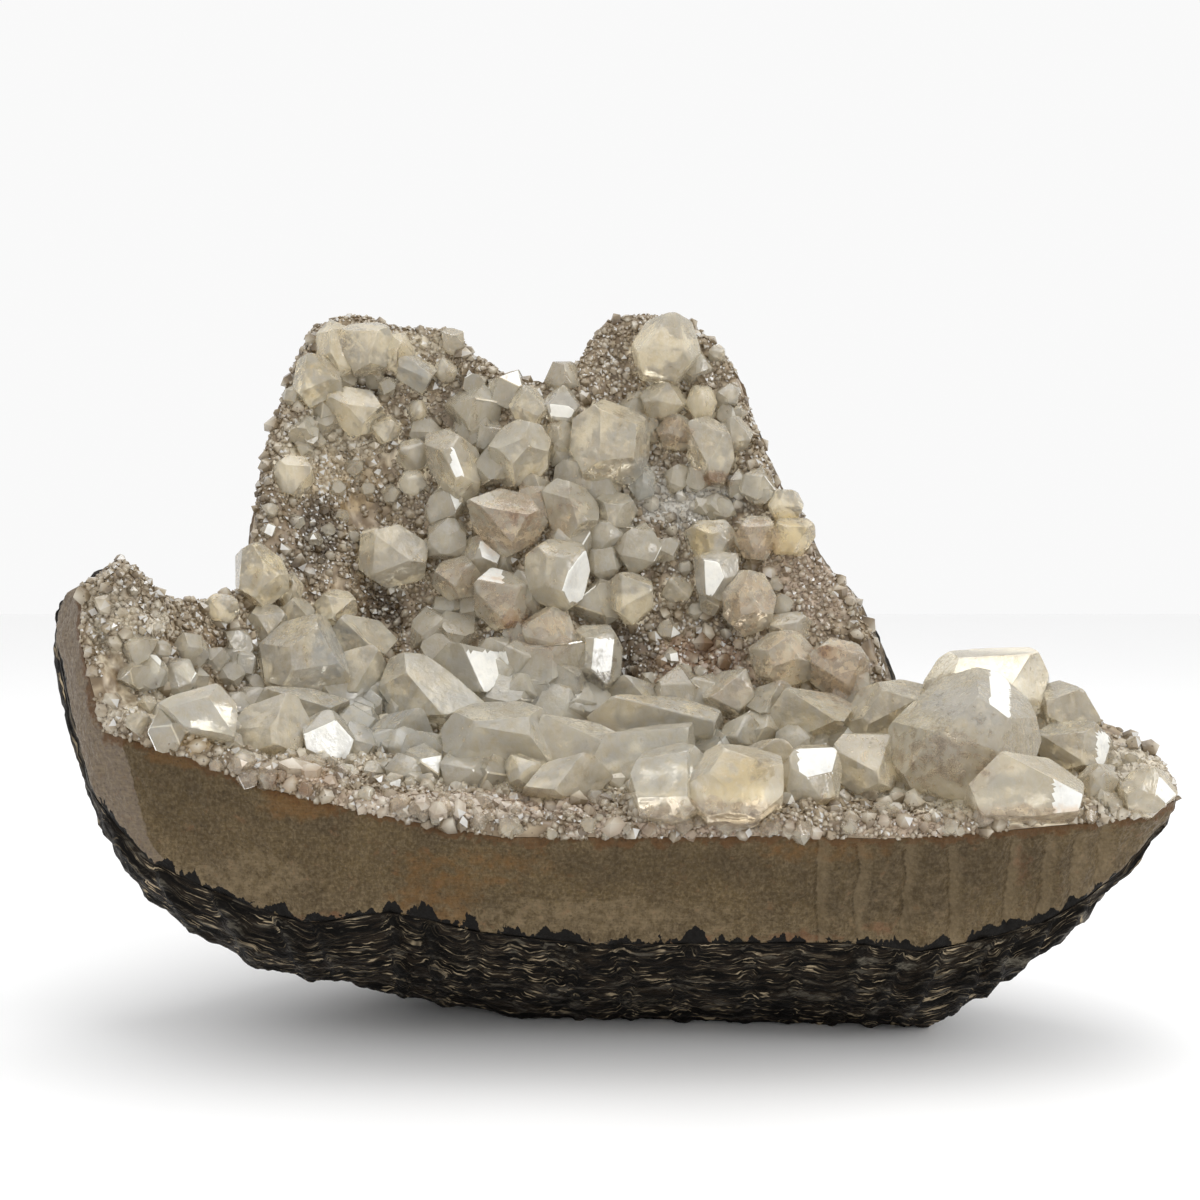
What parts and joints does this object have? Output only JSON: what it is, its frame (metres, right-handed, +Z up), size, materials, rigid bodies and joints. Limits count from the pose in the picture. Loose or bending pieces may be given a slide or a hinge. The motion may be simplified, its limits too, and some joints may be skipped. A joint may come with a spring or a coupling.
{
  "type": "mineral specimen",
  "caption": "Apophyllite crystals on a quartz crust: blocky milky crystals on a sparkling druse that lines a broken piece of thick vug wall with a dark banded rind",
  "frame": {"origin": "middle of the bottom of the specimen's box, on the plane it rests on", "axes": "+X along the broken front edge towards the pointed right end, +Y towards the back, +Z up as it stands"},
  "size_m": [0.3734, 0.1744, 0.2522],
  "materials": {
    "rind": "rough, near-black, thinly banded",
    "massive_quartz": "broken, olive grey-brown, speckled",
    "quartz_crystals": "sparkling crust of small glassy points",
    "apophyllite": "milky, cream and grey, with glassy flat faces"
  },
  "bodies": {
    "root": {"banded_rind": "rind", "quartz_wall": "massive_quartz", "quartz_druse": "quartz_crystals", "apophyllite_centre_large": "apophyllite", "apophyllite_centre_large_2": "apophyllite", "apophyllite_centre_large_3": "apophyllite", "apophyllite_centre_low": "apophyllite", "apophyllite_centre_right": "apophyllite", "apophyllite_centre_right_2": "apophyllite", "apophyllite_front_bright": "apophyllite", "apophyllite_front_bright_2": "apophyllite", "apophyllite_front_bright_3": "apophyllite", "apophyllite_front_left": "apophyllite", "apophyllite_front_left_2": "apophyllite", "apophyllite_front_left_3": "apophyllite", "apophyllite_front_left_4": "apophyllite", "apophyllite_front_middle": "apophyllite", "apophyllite_front_middle_2": "apophyllite", "apophyllite_front_pair": "apophyllite", "apophyllite_front_right": "apophyllite", "apophyllite_front_right_2": "apophyllite", "apophyllite_left_block": "apophyllite", "apophyllite_left_block_2": "apophyllite", "apophyllite_left_hexagon": "apophyllite", "apophyllite_left_middle": "apophyllite", "apophyllite_left_middle_2": "apophyllite", "apophyllite_left_middle_3": "apophyllite", "apophyllite_left_wall": "apophyllite", "apophyllite_right_edge": "apophyllite", "apophyllite_right_end_large": "apophyllite", "apophyllite_right_end_large_2": "apophyllite", "apophyllite_right_end_tip": "apophyllite", "apophyllite_right_end_tip_2": "apophyllite", "apophyllite_right_end_tip_3": "apophyllite", "apophyllite_right_low": "apophyllite", "apophyllite_right_low_2": "apophyllite", "apophyllite_right_low_3": "apophyllite", "apophyllite_right_low_4": "apophyllite", "apophyllite_shelf_back": "apophyllite", "apophyllite_shelf_back_2": "apophyllite", "apophyllite_shelf_back_3": "apophyllite", "apophyllite_shelf_back_4": "apophyllite", "apophyllite_shelf_left": "apophyllite", "apophyllite_upper_left": "apophyllite", "apophyllite_upper_left_2": "apophyllite", "apophyllite_upper_left_3": "apophyllite", "apophyllite_upper_right": "apophyllite", "apophyllite_upper_right_2": "apophyllite"}
  },
  "joints": []
}
